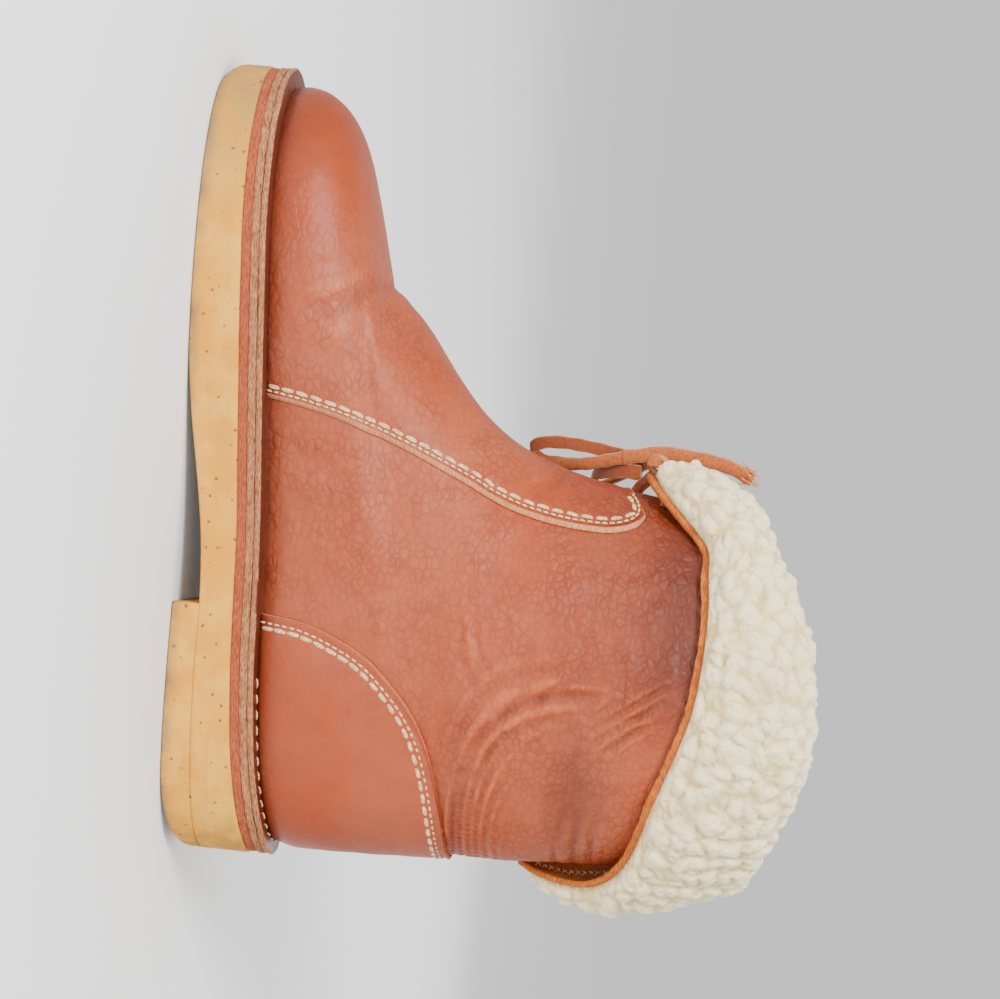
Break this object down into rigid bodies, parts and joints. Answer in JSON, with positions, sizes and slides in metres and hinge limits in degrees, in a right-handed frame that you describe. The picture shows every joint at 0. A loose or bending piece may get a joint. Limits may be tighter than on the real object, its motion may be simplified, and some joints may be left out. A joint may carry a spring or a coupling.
{
  "type": "sheepskin boot",
  "caption": "Low ankle boot for the right foot: pebbled leather upper stitched down to a crepe sole and heel, with a turned-down wool cuff and a leather lace tied in a bow",
  "frame": {"origin": "on the floor under the middle of the heel", "axes": "toe towards +Y, up +Z, the foot's inner side towards -X"},
  "size_m": [0.116, 0.2762, 0.2133],
  "materials": {
    "crepe": "natural crepe rubber, matte and speckled",
    "midsole_leather": "terracotta leather edge, matte",
    "raw_leather": "raw leather edge, fibrous and matte",
    "upper_leather": "pebbled tan leather, semi-matte",
    "wool": "curly shorn wool, cream",
    "lace_leather": "suede thong, matte"
  },
  "bodies": {
    "root": {"outsole": "crepe", "heel": "crepe", "midsole": "midsole_leather", "runner": "raw_leather", "insole": "wool", "upper": "upper_leather", "cuff": "wool", "lace_bar": "lace_leather", "lace_knot": "lace_leather", "lace_loop_front": "lace_leather", "lace_loop_side": "lace_leather", "lace_end_up": "lace_leather", "lace_end_side": "lace_leather"}
  },
  "joints": []
}
